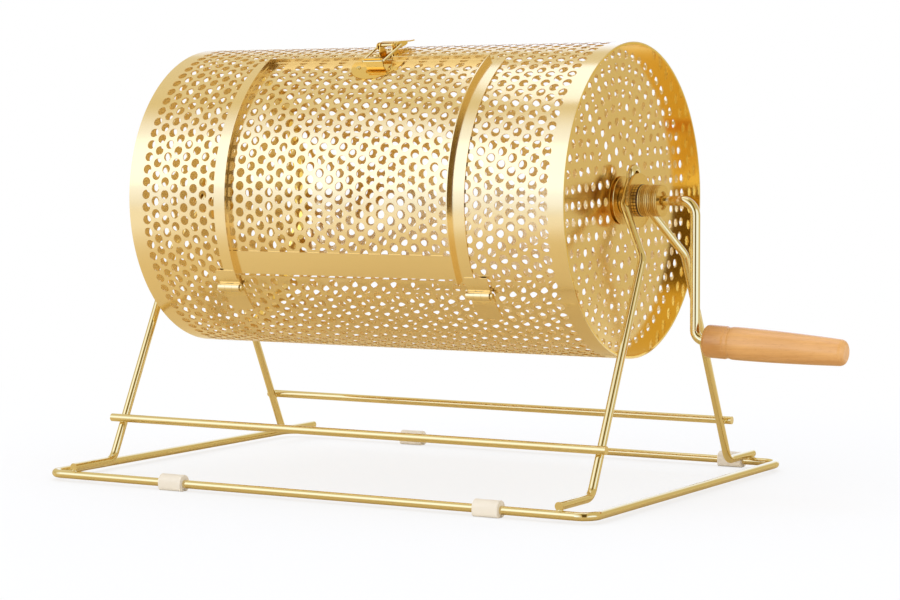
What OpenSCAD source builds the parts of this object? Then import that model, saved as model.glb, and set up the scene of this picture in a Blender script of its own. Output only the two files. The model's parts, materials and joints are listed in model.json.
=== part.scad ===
// Raffle drum: a perforated sheet drum with a hinged door, turned by a crank on a bent rod stand.
// The origin is on the ground under the middle of the whole object, crank and grip included. X runs
// along the axle to the crank, Y runs to the back and Z up. Angles round the drum start at the front and rise
// towards the top.

/* [Drum] */
// Outer radius of the drum
drum_r = 152.4; // [150:0.1:155]
// Length of the drum from rim to rim
drum_len = 490; // [480:1:500]
// Middle of the drum along the axle
drum_x = -5; // [-8:1:-2]
// Height of the axle above the ground
axle_z = 281; // [278:1:300]
// Thickness of the sheet
sheet_t = 1.2; // [1:0.1:1.4]
// How far the end discs sit inside the rims
disc_recess = 15; // [13:1:16]
// Radius of the holes in the end discs
disc_hole_r = 4.3; // [4:0.05:4.6]

/* [Door] */
// Middle of the door, measured from the drum's middle
door_x = 0.8; // [0.3:0.1:1.4]
// Half of the door panel's width between its side flanges
door_half_w = 125; // [124:0.1:125.5]
// Angle of the door's lower edge
door_low_a = -28.6; // [-29:0.1:-28]
// Angle of the door's upper edge
door_top_a = 61; // [60.5:0.1:61.5]
// Height of the strips' flanges above the drum
flange_h = 7; // [6:0.1:8]
// Height of the panel's own folded edges above the drum
fold_h = 2.5; // [2:0.1:3]
// Width of the bands that lap over the drum beside the door
band_w = 16.6; // [15:0.1:17.5]
// Angle at which the plain strip on the door's lower end stops
strip_top_a = -19.4; // [-20:0.1:-18]

/* [Hinges] */
// Middle of the left hinge, measured from the drum's middle
hinge_left_x = -138; // [-140:0.5:-138]
// Middle of the right hinge, measured from the drum's middle
hinge_right_x = 145; // [139:0.5:147]
// Length of a hinge barrel
hinge_w = 25; // [24:0.5:25]
// Outer radius of a hinge barrel
barrel_r = 4.2; // [4:0.1:4.3]
// Radius of a hinge pin
hinge_pin_r = 1.6; // [1.4:0.1:1.8]

/* [Latch] */
// Middle of the latch, measured from the drum's middle
latch_x = 2; // [0:0.5:4]
// Half of the distance between the middles of the bail's arms
bail_half_w = 12.2; // [12:0.1:12.6]
// Radius of the bail's wire
bail_r = 1.3; // [1.1:0.1:1.4]
// Half of the lever's outer width
lever_half_w = 10; // [9.8:0.1:10.2]

/* [Stand] */
// Radius of the stand's rod
rod_r = 4; // [3.8:0.1:4.2]
// Length of the base between the middles of its end rods
base_len = 603; // [598:1:610]
// Depth of the base between the middles of its front and back rods
base_w = 434; // [428:1:440]
// Radius of the base's corners at the middle of the rod
base_corner_r = 15; // [12:1:20]
// Distance of each upright's legs from the stand's middle
leg_x = 270.3; // [268:0.1:273]
// Distance of the foot of each leg from the axle's plane
leg_foot_y = 155.5; // [152:0.5:158]
// Distance of the bend above each leg from the axle's plane
kink_y = 48.2; // [47:0.1:50]
// Height of the bend above each leg
kink_z = 227.6; // [226:0.1:229]
// Height of the crossbars above the ground
crossbar_z = 57; // [50:1:65]
// Length of the crossbars
crossbar_len = 560; // [556:1:564]
// Length of a foot sleeve
foot_len = 30; // [26:1:32]
// Outer radius of a foot sleeve
foot_r = 8.5; // [8:0.1:9]

/* [Crank] */
// Radius of the crank's rod
crank_r = 4.75; // [4.5:0.05:5]
// Distance of the crank's arm from the stand's middle
crank_arm_x = 303; // [300:1:308]
// Distance of the grip below the axle
crank_throw = 132; // [128:1:136]
// Angle by which the grip points below level
grip_droop = 2.4; // [0:0.1:3]
// Length of the wooden grip
grip_len = 140; // [135:1:145]

/* [Hidden] */
$fn = 48;

brass = "#e0b85a";
brass_rod = "#d8a93c";
cream = "#eee6cc";
beech = "#e3c79a";
dark_nylon = "#2a2622";

// Clearance that lets one piece turn on another
turn_gap = 0.06;
// Clearance that keeps two pieces apart
side_gap = 0.3;
inner_r = drum_r - sheet_t;
rim_x = drum_len / 2;
disc_x = rim_x - disc_recess;
// Rings of holes in an end disc
disc_rings = [34, 48, 62.2, 76.4, 90, 103, 115.6, 128.2, 140.8];
ring_holes = 12;
more_holes = 6;
ring_turn = 92;
bend_seam = 0.04;

// Stack along the axle, measured from an end disc's outer face outwards
flange_disc_t = 2.5;
flange_disc_r = 23.3;
bush_start = 3;
bush_end = 19.7;
bush_r = 13.2;
plate_t = 2;
plate_r = 26.3;
loop_at = 13.4;
washer_start = bush_end + side_gap;
washer_t = 3.5;
washer_r = 15.6;
collar_start = washer_start + washer_t;
collar_len = 20.5;
collar_r = 15.3;
rib_gap = 0.9;
rib_h = 0.5;
axle_r = 9;
axle_end = collar_start + collar_len - 2;
nut_t = 11;
nut_r = 15.6;
axle_in = nut_t + 3;
crank_seat = 22;
screw_r = 2.4;

// Door and opening
opening_half_w = door_half_w + 2.5;
opening_low_a = door_low_a - 1.2;
opening_top_a = door_top_a + 0.4;
strip_t = 1.2;
lap_gap = 0.4;
lap_r = drum_r + lap_gap;
fold_a = 0.46;
strip_low_a = door_low_a - 1.4;
top_band_a = 3.5;
notch_half_w = 16;
notch_h = 3.5;

// Hinges
hinge_a = -34.2;
hinge_r = drum_r + side_gap + barrel_r;
leaf_t = 1.2;
knuckle_w = 8;
lower_leaf_a = -46.5;
upper_leaf_a = -27.4;
pin_head_r = 2.8;
pin_head_t = 2.4;

// Latch, in a plane that touches the drum at this angle: u runs up round the drum and v outwards
latch_a = 70;
pivot_u = -4;
pivot_v = 10.5;
pivot_pin_r = 1.5;
bail_u = 3;
bail_v = 8.8;
bar_u = -35.8;
bar_v = 4.2;
ear_in = 6.6;
ear_out = 7.8;
ear_r = 2.9;
lever_t = 1.2;
lever_tip_u = 37;
lever_tip_r = 6;
hook_half_w = 10;
hook_gap = 0.9;
hook_t = 1.2;
hook_curl_a = 115;
catch_r = 28;
base_low_a = 65.4;
base_top_a = 77;
base_half_w = 13;
rivet_r = 1.4;
rivet_head_r = 2.4;

// Stand
base_z = foot_r - 1.5;
foot_seg_z = base_z + 2 * rod_r - 0.1;
foot_seg_end = base_w / 2 + 2;
foot_bend_r = 14;
kink_r = 16;
hub_bend_r = 12;
hub_u = 22;
hub_z = axle_z - 3;
neck_u = 7;
neck_z = axle_z + 21;
top_z = axle_z + 31;
leg_lean = atan2(leg_foot_y - kink_y, kink_z - foot_seg_z);
crossbar_y = leg_foot_y - (crossbar_z - foot_seg_z) * tan(leg_lean) + (2 * rod_r - 0.1) / cos(leg_lean);
front_left_foot_x = -150;
front_right_foot_x = 198;
rear_left_foot_x = -137;
rear_right_foot_x = 248;

// Crank and grip, the grip measured along its own axis from the arm
crank_bend_r = 14;
crank_low_bend_r = 10;
grip_z = axle_z - crank_throw;
grip_start = 12.5;
grip_bore = 122;
grip_r = 16;
ring_at = 112;
ring_t = 1.6;
ring_r = 7;
grip_end_r = 5.5;
grip_end_flat_r = 7;
grip_tip_x = crank_arm_x + (grip_start + grip_len) * cos(grip_droop) + grip_end_flat_r * sin(grip_droop);

// The stand's middle, which puts the origin under the middle of the whole object
mid_x = (base_len / 2 + rod_r - grip_tip_x) / 2;
arm_x = mid_x + crank_arm_x;

// A rod bent along a list of points, with a bend radius at each inner point. A ball that is hardly
// larger than the rod sits where a bend meets a straight, so that the two always join.
function unit(v) = v / norm(v);
module straight(a, b, r) {
  d = b - a;
  translate(a) rotate([0, acos(d.z / norm(d)), atan2(d.y, d.x)]) cylinder(r = r, h = norm(d));
}
module elbow(p, d_in, d_out, bend_r, r) {
  turn = acos(d_in * d_out);
  n = unit(cross(d_in, d_out));
  m = cross(n, d_in);
  c = p - bend_r * tan(turn / 2) * d_in + bend_r * m;
  multmatrix([
    [-m.x, d_in.x, n.x, c.x], [-m.y, d_in.y, n.y, c.y], [-m.z, d_in.z, n.z, c.z], [0, 0, 0, 1]
  ]) rotate_extrude(angle = turn) translate([bend_r, 0]) circle(r = r);
}
module bent_rod(points, bends, r, seam = 0) {
  last = len(points) - 1;
  dirs = [for (i = [0:last - 1]) unit(points[i + 1] - points[i])];
  cut = [for (i = [0:last]) i == 0 || i == last ? 0 : bends[i - 1] * tan(acos(dirs[i - 1] * dirs[i]) / 2)];
  for (i = [0:last - 1]) straight(points[i] + dirs[i] * cut[i], points[i + 1] - dirs[i] * cut[i + 1], r);
  for (i = [1:last - 1]) {
    elbow(points[i], dirs[i - 1], dirs[i], bends[i - 1], r);
    if (seam > 0) for (d = [-dirs[i - 1], dirs[i]]) translate(points[i] + cut[i] * d) sphere(r = r + seam);
  }
}

// Places on the drum
module on_axle() { translate([mid_x + drum_x, 0, axle_z]) children(); }
module along_x() { rotate([0, 90, 0]) children(); }
module turned_up(a) { rotate([-a, 0, 0]) children(); }
// A profile of [radius, x] swept round the axle from one angle to another
module swept(a0, a1) {
  rotate([0, 90, 0]) rotate([0, 0, -a1 - 90]) rotate_extrude(angle = a1 - a0) children();
}
module curved_sheet(a0, a1, x0, x1, r0, r1) {
  swept(a0, a1) translate([r0, x0]) square([r1 - r0, x1 - x0]);
}
module tube_x(x0, x1, r_out, r_in) {
  translate([x0, 0, 0]) along_x() difference() {
    cylinder(r = r_out, h = x1 - x0);
    translate([0, 0, -1]) cylinder(r = r_in, h = x1 - x0 + 2);
  }
}
module rod_x(x0, x1, r) { translate([x0, 0, 0]) along_x() cylinder(r = r, h = x1 - x0); }

// Both ends of the drum: side is 1 at the crank and -1 at the other end
module drum_end(side) {
  on_axle() mirror([side < 0 ? 1 : 0, 0, 0]) translate([disc_x, 0, 0]) children();
}

// Stand
module base_loop() {
  x = base_len / 2 - base_corner_r;
  y = base_w / 2 - base_corner_r;
  color(brass_rod) translate([mid_x, 0, base_z]) {
    for (s = [-1, 1]) {
      translate([-x, s * base_w / 2, 0]) along_x() cylinder(r = rod_r, h = 2 * x);
      translate([s * base_len / 2, y, 0]) rotate([90, 0, 0]) cylinder(r = rod_r, h = 2 * y);
    }
    for (q = [[1, 1, 0], [-1, 1, 90], [-1, -1, 180], [1, -1, 270]])
      translate([q.x * x, q.y * y, 0]) rotate([0, 0, q.z])
        rotate_extrude(angle = 90) translate([base_corner_r, 0]) circle(r = rod_r);
  }
}
module upright(side) {
  x = mid_x + side * leg_x;
  hub_x = mid_x + drum_x + side * (disc_x + loop_at);
  front = [
    [x, -foot_seg_end, foot_seg_z], [x, -leg_foot_y, foot_seg_z], [x, -kink_y, kink_z],
    [hub_x, -hub_u, hub_z], [hub_x, -neck_u, neck_z], [hub_x, -neck_u, top_z]
  ];
  back = [for (i = [len(front) - 1:-1:0]) [front[i].x, -front[i].y, front[i].z]];
  bends = [foot_bend_r, kink_r, hub_bend_r, 8, 6.9];
  back_bends = [for (i = [len(bends) - 1:-1:0]) bends[i]];
  color(brass_rod) bent_rod(concat(front, back), concat(bends, back_bends), rod_r, bend_seam);
}
module left_upright() { upright(-1); }
module right_upright() { upright(1); }
module crossbar(side) {
  color(brass_rod) translate([mid_x - crossbar_len / 2, side * crossbar_y, crossbar_z]) along_x()
    cylinder(r = rod_r, h = crossbar_len);
}
module front_crossbar() { crossbar(-1); }
module rear_crossbar() { crossbar(1); }
module foot_sleeve(x, side) {
  color(cream) translate([mid_x + x - foot_len / 2, side * base_w / 2, 0]) difference() {
    union() {
      translate([0, 0, foot_r]) along_x() cylinder(r = foot_r, h = foot_len);
      translate([0, -foot_r, 0]) cube([foot_len, 2 * foot_r, foot_r]);
    }
    translate([-1, 0, base_z]) along_x() cylinder(r = rod_r, h = foot_len + 2);
    translate([-1, 0, base_z - 0.6]) scale([1, side, 1]) cube([foot_len + 2, foot_r + 1, 1.2]);
  }
}
module front_left_foot() { foot_sleeve(front_left_foot_x, -1); }
module front_right_foot() { foot_sleeve(front_right_foot_x, -1); }
module rear_left_foot() { foot_sleeve(rear_left_foot_x, 1); }
module rear_right_foot() { foot_sleeve(rear_right_foot_x, 1); }
module bearing_bush(side) {
  color(brass) drum_end(side) tube_x(bush_start, bush_end, bush_r, axle_r + turn_gap);
}
module left_bearing_bush() { bearing_bush(-1); }
module right_bearing_bush() { bearing_bush(1); }
module bearing_plate(side) {
  top = mid_x + drum_x + side * (disc_x + loop_at);
  color(brass) difference() {
    drum_end(side) tube_x(bush_end - plate_t, bush_end, plate_r, bush_r);
    for (s = [-1, 1])
      straight([mid_x + side * leg_x, s * kink_y, kink_z], [top, s * hub_u, hub_z], rod_r + side_gap);
  }
}
module left_bearing_plate() { bearing_plate(-1); }
module right_bearing_plate() { bearing_plate(1); }

// Drum
module drum_shell() {
  x0 = door_x - opening_half_w;
  x1 = door_x + opening_half_w;
  color(brass) on_axle() difference() {
    tube_x(-rim_x, rim_x, drum_r, inner_r);
    curved_sheet(opening_low_a, opening_top_a, x0, x1, inner_r - 5, drum_r + 5);
  }
}
module end_disc(side) {
  color(brass) drum_end(side) along_x() translate([0, 0, -sheet_t]) linear_extrude(sheet_t) difference() {
    circle(r = inner_r);
    circle(r = axle_r);
    for (i = [0:len(disc_rings) - 1]) {
      count = ring_holes + i * more_holes;
      for (k = [0:count - 1])
        rotate(ring_turn + k * 360 / count) translate([disc_rings[i], 0]) circle(r = disc_hole_r);
    }
  }
}
module left_end_disc() { end_disc(-1); }
module right_end_disc() { end_disc(1); }
module rim_ring(side) {
  color(brass) drum_end(side) tube_x(0, disc_recess, inner_r, inner_r - sheet_t);
}
module left_rim_ring() { rim_ring(-1); }
module right_rim_ring() { rim_ring(1); }
module axle_flange(side) {
  color(brass) drum_end(side) tube_x(0, flange_disc_t, flange_disc_r, axle_r);
}
module left_axle_flange() { axle_flange(-1); }
module right_axle_flange() { axle_flange(1); }
module left_axle() { color(brass_rod) drum_end(-1) rod_x(-axle_in, axle_end, axle_r); }
module right_axle() {
  color(brass_rod) drum_end(1) difference() {
    rod_x(-axle_in, axle_end, axle_r);
    rod_x(crank_seat, axle_end + 1, crank_r);
  }
}
module axle_nut(side) {
  color(brass) drum_end(side) translate([-sheet_t - nut_t, 0, 0]) along_x() difference() {
    cylinder(r = nut_r, h = nut_t, $fn = 6);
    translate([0, 0, -1]) cylinder(r = axle_r, h = nut_t + 2);
  }
}
module left_axle_nut() { axle_nut(-1); }
module right_axle_nut() { axle_nut(1); }
module thrust_washer(side) {
  color(dark_nylon) drum_end(side) tube_x(washer_start, washer_start + washer_t, washer_r, axle_r);
}
module left_thrust_washer() { thrust_washer(-1); }
module right_thrust_washer() { thrust_washer(1); }
module collar_body() {
  ribs = 9;
  step = collar_len / (ribs + 1);
  difference() {
    tube_x(collar_start, collar_start + collar_len, collar_r, axle_r);
    for (i = [1:ribs]) translate([collar_start + i * step, 0, 0])
      tube_x(-rib_gap / 2, rib_gap / 2, collar_r + 1, collar_r - rib_h);
    translate([collar_start + collar_len / 2 - 1, 0, 0]) cylinder(r = screw_r, h = collar_r + 1);
  }
}
module left_lock_collar() { color(brass) drum_end(-1) collar_body(); }
module crank_collar() { color(brass) drum_end(1) collar_body(); }
module collar_screws() {
  color("#8a6a30") for (side = [-1, 1])
    drum_end(side) translate([collar_start + collar_len / 2 - 1, 0, axle_r]) difference() {
      cylinder(r = screw_r, h = collar_r - axle_r - 1);
      translate([0, 0, collar_r - axle_r - 3.2]) cylinder(r = 1.3, h = 3, $fn = 6);
    }
}
module on_grip_axis() {
  translate([arm_x, 0, grip_z]) rotate([0, grip_droop, 0]) children();
}
module crank_rod() {
  start = [mid_x + drum_x + disc_x + crank_seat, 0, axle_z];
  tip = [arm_x + grip_bore * cos(grip_droop), 0, grip_z - grip_bore * sin(grip_droop)];
  color(brass_rod) difference() {
    bent_rod(
      [start, [arm_x, 0, axle_z], [arm_x, 0, grip_z], tip],
      [crank_bend_r, crank_low_bend_r], crank_r, bend_seam
    );
    on_grip_axis() tube_x(ring_at, ring_at + ring_t, crank_r + 1, crank_r - 1);
  }
}
module grip_snap_ring() {
  color("#5b5b5b") on_grip_axis() tube_x(ring_at, ring_at + ring_t, ring_r, crank_r - 1);
}
module wooden_grip() {
  end = grip_start + grip_len;
  color(beech) on_grip_axis() along_x() difference() {
    rotate_extrude() polygon(concat(
      [[0, grip_start], [14.2, grip_start], [15.3, grip_start + 1.2], [15.7, grip_start + 3]],
      [[15.7, grip_start + 20], [14.9, grip_start + 21.5], [14.9, grip_start + 25], [15.6, grip_start + 27]],
      [for (i = [0:12]) [grip_r - 0.3 - 3.2 * pow(i / 12, 1.7), grip_start + 30 + (grip_len - 36) * i / 12]],
      [for (a = [15:15:90]) [grip_end_flat_r + grip_end_r * cos(a), end - 6 + 6 * sin(a)]],
      [[0, end]]
    ));
    translate([0, 0, grip_start - 1]) cylinder(r = crank_r + turn_gap, h = grip_bore + 2 - grip_start + 1);
    translate([0, 0, ring_at - side_gap]) cylinder(r = ring_r + side_gap, h = ring_t + 2 * side_gap);
  }
}

// Hinges: the lower leaf is on the drum and the upper leaf on the door
module on_hinge_pin() { turned_up(hinge_a) translate([0, -hinge_r, 0]) children(); }
module knuckles(x0, x1, bore_r) {
  on_hinge_pin() tube_x(x0, x1, barrel_r, bore_r);
}
module hinge_lower_leaf(x) {
  side_w = (hinge_w - knuckle_w) / 2;
  color(brass) on_axle() translate([x, 0, 0]) difference() {
    union() {
      curved_sheet(lower_leaf_a, hinge_a, -hinge_w / 2, hinge_w / 2, drum_r, drum_r + leaf_t);
      knuckles(-knuckle_w / 2, knuckle_w / 2, hinge_pin_r);
    }
    for (s = [-1, 1]) translate([s * (hinge_w / 2 - side_w / 2 + 0.5), 0, 0]) on_hinge_pin()
      rod_x(-side_w / 2 - 0.5, side_w / 2 + 0.5, barrel_r + side_gap);
    on_hinge_pin() rod_x(-hinge_w, hinge_w, hinge_pin_r);
  }
}
module left_hinge_lower_leaf() { hinge_lower_leaf(hinge_left_x); }
module right_hinge_lower_leaf() { hinge_lower_leaf(hinge_right_x); }
module hinge_upper_leaf(x) {
  leaf_r = lap_r + strip_t;
  inner = knuckle_w / 2 + 0.15;
  color(brass) on_axle() translate([x, 0, 0]) difference() {
    union() {
      curved_sheet(hinge_a, upper_leaf_a, -hinge_w / 2, hinge_w / 2, leaf_r, leaf_r + leaf_t);
      knuckles(-hinge_w / 2, -inner, hinge_pin_r + turn_gap);
      knuckles(inner, hinge_w / 2, hinge_pin_r + turn_gap);
    }
    on_hinge_pin() rod_x(-inner, inner, barrel_r + side_gap);
    on_hinge_pin() rod_x(-hinge_w, hinge_w, hinge_pin_r + turn_gap);
  }
}
module left_hinge_upper_leaf() { hinge_upper_leaf(hinge_left_x); }
module right_hinge_upper_leaf() { hinge_upper_leaf(hinge_right_x); }
module hinge_pin(x) {
  color(brass_rod) on_axle() translate([x, 0, 0]) on_hinge_pin() {
    rod_x(-hinge_w / 2 - 1, hinge_w / 2 + 0.5, hinge_pin_r);
    rod_x(hinge_w / 2 + side_gap, hinge_w / 2 + side_gap + pin_head_t, pin_head_r);
  }
}
module left_hinge_pin() { hinge_pin(hinge_left_x); }
module right_hinge_pin() { hinge_pin(hinge_right_x); }

// Door
module door_sheet(a0, a1, x0, x1, r0, r1) {
  on_axle() translate([door_x, 0, 0]) curved_sheet(a0, a1, x0, x1, r0, r1);
}
module latch_notch() {
  on_axle() curved_sheet(
    door_top_a - 2, door_top_a + 2, latch_x - notch_half_w, latch_x + notch_half_w,
    drum_r + notch_h, drum_r + flange_h + 5
  );
}
module door_panel() {
  w = door_half_w;
  color(brass) {
    door_sheet(door_low_a, door_top_a, -w, w, inner_r, drum_r);
    for (x0 = [-w, w - sheet_t])
      door_sheet(door_low_a, door_top_a, x0, x0 + sheet_t, inner_r, drum_r + fold_h);
    door_sheet(door_top_a - fold_a, door_top_a, -w, w, inner_r, drum_r + fold_h);
  }
}
module door_side_strip(side) {
  x0 = door_half_w;
  top = door_top_a + fold_a;
  color(brass) on_axle() translate([door_x, 0, 0]) mirror([side < 0 ? 1 : 0, 0, 0]) {
    curved_sheet(strip_low_a, top, x0, x0 + strip_t, lap_r, drum_r + flange_h);
    curved_sheet(strip_low_a, top, x0, x0 + band_w, lap_r, lap_r + strip_t);
  }
}
module door_left_strip() { door_side_strip(-1); }
module door_right_strip() { door_side_strip(1); }
module door_top_strip() {
  w = door_half_w;
  color(brass) difference() {
    union() {
      door_sheet(door_top_a, door_top_a + fold_a, -w, w, lap_r, drum_r + flange_h);
      door_sheet(door_top_a, door_top_a + top_band_a, -w, w, lap_r, lap_r + strip_t);
    }
    latch_notch();
  }
}
module door_bottom_strip() {
  w = door_half_w - sheet_t;
  color(brass) door_sheet(door_low_a, strip_top_a, -w, w, drum_r, drum_r + strip_t);
}

// Latch: a lever on the drum pulls a wire bail against a hook on the door
module latch_frame() { on_axle() turned_up(latch_a) translate([latch_x, -drum_r, 0]) children(); }
// A rod along x at a place given by u and v
module cross_rod(u, v, x0, x1, r) { translate([0, -v, u]) rod_x(x0, x1, r); }
// A flat outline of [u, v] points made into a plate between two x
module side_plate(x0, x1, points) {
  translate([x0, 0, 0]) rotate([90, 0, 90]) linear_extrude(x1 - x0) polygon([for (p = points) [-p[1], p[0]]]);
}
module latch_base() {
  color(brass) difference() {
    union() {
      on_axle() curved_sheet(
        base_low_a, base_top_a, latch_x - base_half_w, latch_x + base_half_w, drum_r, drum_r + strip_t
      );
      latch_frame() for (s = [-1, 1]) mirror([s < 0 ? 1 : 0, 0, 0]) {
        side_plate(ear_in, ear_out, [
          [pivot_u - 6, 0.3], [pivot_u + 8, 0.3], [pivot_u + 2.6, pivot_v], [pivot_u - 2.6, pivot_v]
        ]);
        cross_rod(pivot_u, pivot_v, ear_in, ear_out, ear_r);
      }
    }
    latch_frame() cross_rod(pivot_u, pivot_v, -20, 20, pivot_pin_r);
    rivet_places() rod_x(-5, 5, rivet_r);
  }
}
module rivet_places() {
  for (x = [-10.4, 10.4], a = [base_low_a + 2, base_top_a - 2])
    on_axle() turned_up(a) translate([latch_x + x, -drum_r, 0]) rotate([0, 0, 90]) children();
}
module latch_rivets() {
  color(brass_rod) rivet_places() {
    rod_x(-strip_t - 1, 0, rivet_r);
    rod_x(-strip_t - 1, -strip_t, rivet_head_r);
  }
}
module latch_pivot_pin() {
  color(brass_rod) latch_frame() {
    cross_rod(pivot_u, pivot_v, -lever_half_w - 0.6, lever_half_w + 0.6, pivot_pin_r);
  }
}
module latch_lever() {
  w = lever_half_w;
  color(brass) latch_frame() difference() {
    union() {
      for (s = [-1, 1]) mirror([s < 0 ? 1 : 0, 0, 0]) side_plate(w - lever_t, w, [
        [-8, 8.6], [-6.6, 6.6], [-4.5, 5.6], [14, 4.4], [18.6, 5], [18.6, 7.7], [5, 11.8], [0, 11.9],
        [-2, 13], [-5.8, 13], [-8, 11.4]
      ]);
      side_plate(-w, w, [
        [0, 10.7], [4.8, 10.6], [23.8, 5], [lever_tip_u, 2.4],
        [lever_tip_u, 3.6], [24.1, 6.2], [5, 11.8], [0, 11.9]
      ]);
    }
    cross_rod(pivot_u, pivot_v, -w - 1, w + 1, pivot_pin_r + turn_gap);
    cross_rod(bail_u, bail_v, -w - 1, w + 1, bail_r + turn_gap);
    for (s = [-1, 1]) mirror([s < 0 ? 1 : 0, 0, 0]) translate([w - lever_tip_r, 0, lever_tip_u - lever_tip_r])
      rotate([90, 0, 0]) linear_extrude(30) difference() {
        square(lever_tip_r + 1);
        circle(r = lever_tip_r);
      }
  }
}
module latch_bail() {
  tip = ear_out + 0.3;
  w = bail_half_w;
  reach = norm([bar_u - bail_u, bar_v - bail_v]);
  path = [[-tip, 0, 0], [-w, 0, 0], [-w, 0, -reach], [w, 0, -reach], [w, 0, 0], [tip, 0, 0]];
  color(brass_rod) latch_frame() translate([0, -bail_v, bail_u])
    rotate([atan2(bail_v - bar_v, bail_u - bar_u), 0, 0]) bent_rod(path, [2, 3, 3, 2], bail_r);
}
module latch_catch() {
  wall_u = bar_u + bail_r + hook_gap;
  color(brass) {
    intersection() {
      on_axle() curved_sheet(
        door_top_a - 14, door_top_a - fold_a, latch_x - catch_r, latch_x + catch_r, drum_r, drum_r + strip_t
      );
      on_axle() turned_up(door_top_a - fold_a) translate([latch_x, -drum_r + 10, 0]) rotate([90, 0, 0])
        cylinder(r = catch_r, h = 20);
    }
    latch_frame() {
      side_plate(-hook_half_w, hook_half_w, [
        [wall_u, bar_v], [wall_u, -3.2], [wall_u + hook_t, -3.2], [wall_u + hook_t, bar_v]
      ]);
      translate([-hook_half_w, -bar_v, bar_u]) along_x() rotate([0, 0, 180])
        rotate_extrude(angle = hook_curl_a)
        translate([bail_r + hook_gap, 0]) square([hook_t, 2 * hook_half_w]);
    }
  }
}
module catch_rivets() {
  color(brass_rod) on_axle() turned_up(door_top_a - 4) for (x = [-18, 18])
    translate([latch_x + x, -drum_r, 0]) rotate([0, 0, 90]) rod_x(-strip_t - 1, -strip_t, rivet_head_r);
}

base_loop();
left_upright();
right_upright();
front_crossbar();
rear_crossbar();
front_left_foot();
front_right_foot();
rear_left_foot();
rear_right_foot();
left_bearing_bush();
right_bearing_bush();
left_bearing_plate();
right_bearing_plate();
drum_shell();
left_end_disc();
right_end_disc();
left_rim_ring();
right_rim_ring();
left_axle_flange();
right_axle_flange();
left_axle();
right_axle();
left_axle_nut();
right_axle_nut();
left_thrust_washer();
right_thrust_washer();
left_lock_collar();
crank_collar();
collar_screws();
crank_rod();
grip_snap_ring();
left_hinge_lower_leaf();
right_hinge_lower_leaf();
left_hinge_pin();
right_hinge_pin();
latch_base();
latch_pivot_pin();
latch_rivets();
door_panel();
door_left_strip();
door_right_strip();
door_top_strip();
door_bottom_strip();
left_hinge_upper_leaf();
right_hinge_upper_leaf();
latch_catch();
catch_rivets();
latch_lever();
latch_bail();
wooden_grip();
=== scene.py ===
"""Raffle drum: finishes, perforated walls, flanges, sleeves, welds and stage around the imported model."""
import json
import math

import bmesh
import bpy
from mathutils import Matrix, Vector


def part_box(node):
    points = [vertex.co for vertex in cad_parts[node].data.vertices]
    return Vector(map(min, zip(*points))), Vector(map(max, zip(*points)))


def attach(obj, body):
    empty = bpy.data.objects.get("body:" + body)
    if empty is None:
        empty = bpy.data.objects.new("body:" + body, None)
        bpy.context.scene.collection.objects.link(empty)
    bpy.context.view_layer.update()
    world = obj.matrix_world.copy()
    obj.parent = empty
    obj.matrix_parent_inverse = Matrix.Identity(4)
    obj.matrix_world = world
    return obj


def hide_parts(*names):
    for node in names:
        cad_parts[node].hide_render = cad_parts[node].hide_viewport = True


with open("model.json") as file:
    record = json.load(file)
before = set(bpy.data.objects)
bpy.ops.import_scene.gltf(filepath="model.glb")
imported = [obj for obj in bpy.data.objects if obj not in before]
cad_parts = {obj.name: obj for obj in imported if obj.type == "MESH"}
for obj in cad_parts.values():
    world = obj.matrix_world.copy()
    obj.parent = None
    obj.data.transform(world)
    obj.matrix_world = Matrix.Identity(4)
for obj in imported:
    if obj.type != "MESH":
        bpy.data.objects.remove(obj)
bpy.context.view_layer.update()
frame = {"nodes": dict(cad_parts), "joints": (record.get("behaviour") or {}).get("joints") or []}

bl_info = {
    "name": "Raffle Drum",
    "version": (1, 0, 0),
    "blender": (4, 5, 0),
    "location": "View3D > Sidebar > Raffle Drum",
    "description": "Builds the perforated walls, finishes and stage of a raffle drum",
    "category": "Object",
}

JOINTS = {j["name"]: j for j in frame["joints"]}
AXLE = Vector(JOINTS["drum_spin"]["pos_m"])
WHITE = (1.0, 1.0, 1.0, 1.0)

# Faces round a punched hole, a turned piece and a sleeve, and along a fold, and the rounds of a bead
HOLE_SIDES = 16
TURNED_SIDES = 96
SLEEVE_SIDES = 72
FOLD_STEPS = 48
BEAD_ROUNDS = 4
# Points closer than this become one
SAME_POINT = 0.00002
# Edges sharper than these are shaded crisp, on sheets and on turned or moulded pieces
SHEET_FOLD = math.radians(40)
PIECE_FOLD = math.radians(30)
# A sleeve's section: powers of its round top and flat foot, half angle of its slit, and its end edge
SLEEVE_TOP = 2.15
SLEEVE_FOOT = 4.0
SLEEVE_SLIT = math.radians(1.2)
SLEEVE_EDGE = 0.0004
# How far a bead of weld is flattened, and the scale and depth of its unevenness
BEAD_FLAT = 0.55
BEAD_GRAIN = 420.0
BEAD_DEPTH = 0.5
# A lock washer's teeth, the share of each tooth's step that is a gap painted dark as shade, where its face
# painted dark as shade against the collar starts from its middle, and how ragged that start is
WASHER_TEETH = 30.0
WASHER_GAP = 0.36
WASHER_FACE = 0.0003
WASHER_SHADE_RAGGED = 0.0006
# How far the grip droops, and how far from its collar the grip is darker
GRIP_DROOP = math.radians(2.4)
GRIP_DARK_END = 0.045
# Share of each colour that is left where plated metal has dulled
DULLED = (0.90, 0.84, 0.72)
# Depth of the relief on plated metal, and on plastic and wood
SCRATCH_DEPTH = 0.00012
SKIN_DEPTH = 0.0002
# Share of the sheet's thickness that an axle flange's edge is cut back by
FLANGE_LIP = 0.3

# The photograph's camera: its place, turn, tilt, lens and shift
CAMERA_PLACE = (1.20630, -2.18391, 0.33660)
CAMERA_TURN = math.radians(29.723)
CAMERA_TILT = math.radians(-2.361)
CAMERA_LENS = 100.32
CAMERA_SENSOR = 36.0
CAMERA_SHIFT = (0.0, -0.06)
CAMERA_REACH = 50.0

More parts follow.
